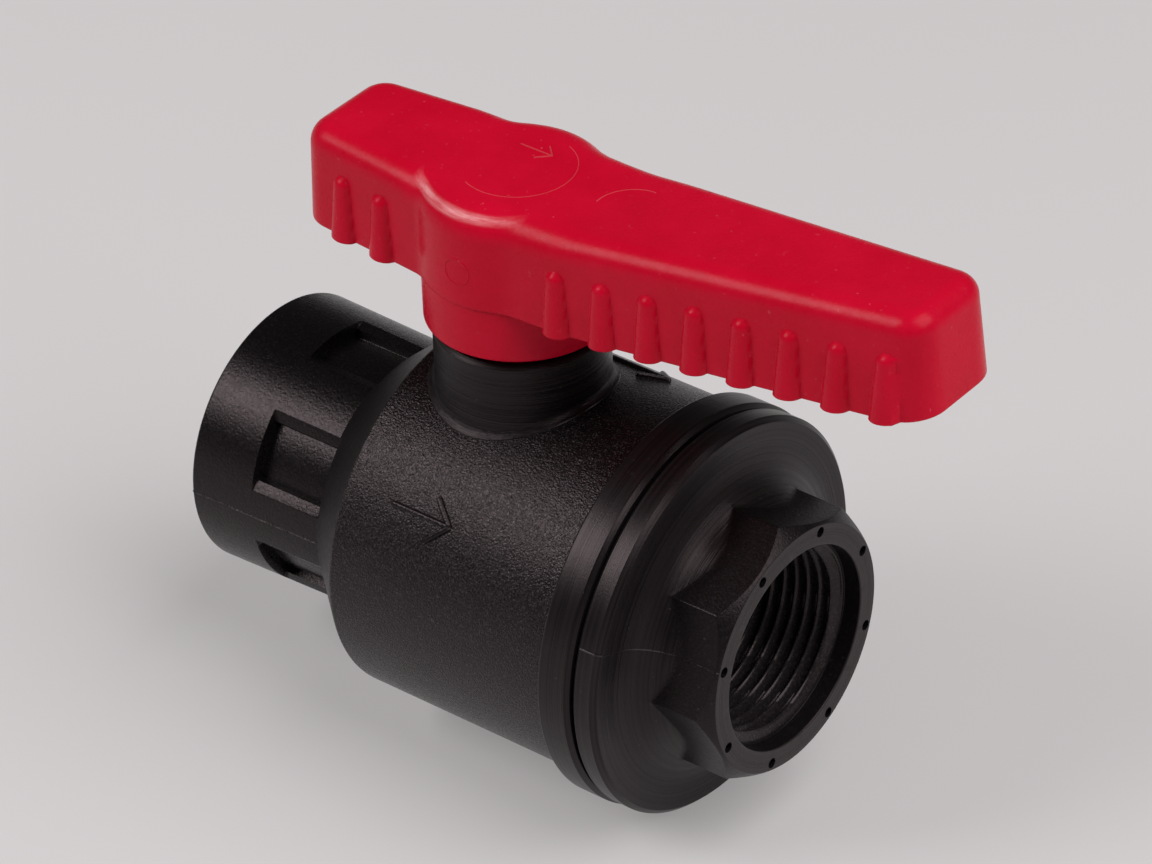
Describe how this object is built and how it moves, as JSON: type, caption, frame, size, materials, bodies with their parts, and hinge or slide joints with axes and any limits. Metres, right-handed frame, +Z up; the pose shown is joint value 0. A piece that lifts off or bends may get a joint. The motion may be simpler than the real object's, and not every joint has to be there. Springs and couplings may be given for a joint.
{
  "type": "seacock valve",
  "caption": "In-line ball valve with threaded ends, a round black body, an octagonal end adapter and a red quarter-turn lever handle.",
  "frame": {"origin": "centre of the ball, where the bore's axis crosses the stem's axis", "axes": "+X along the bore towards the octagonal end adapter, +Z up the stem towards the handle, +Y completes the right-handed frame"},
  "size_m": [0.1066, 0.0534, 0.0874],
  "materials": {
    "black_nylon": "fine spark-eroded grain with turned bands",
    "red_nylon": "satin moulded",
    "ball_plastic": "polished",
    "ptfe": "machined",
    "nitrile": "moulded, lightly greased"
  },
  "bodies": {
    "housing": {"valve_body": "black_nylon", "end_adapter": "black_nylon", "seat_inlet": "ptfe", "seat_outlet": "ptfe", "seat_ring_inlet": "nitrile", "seat_ring_outlet": "nitrile", "adapter_o_ring": "nitrile"},
    "lever": {"handle": "red_nylon", "stem": "black_nylon", "stem_o_ring_lower": "nitrile", "stem_o_ring_upper": "nitrile", "thrust_washer": "ptfe"},
    "ball_core": {"ball": "ball_plastic"}
  },
  "joints": [
    {"name": "handle_turn", "type": "hinge", "parent": "housing", "child": "lever", "pos_m": [0, 0, 0.04], "axis": [0, 0, -1], "range_deg": [0, 90]},
    {"name": "ball_turn", "type": "hinge", "parent": "housing", "child": "ball_core", "pos_m": [0, 0, 0], "axis": [0, 0, -1], "range_deg": [0, 90]}
  ],
  "couplings": [
    {"joint": "ball_turn", "follows": "handle_turn", "ratio": 1}
  ]
}
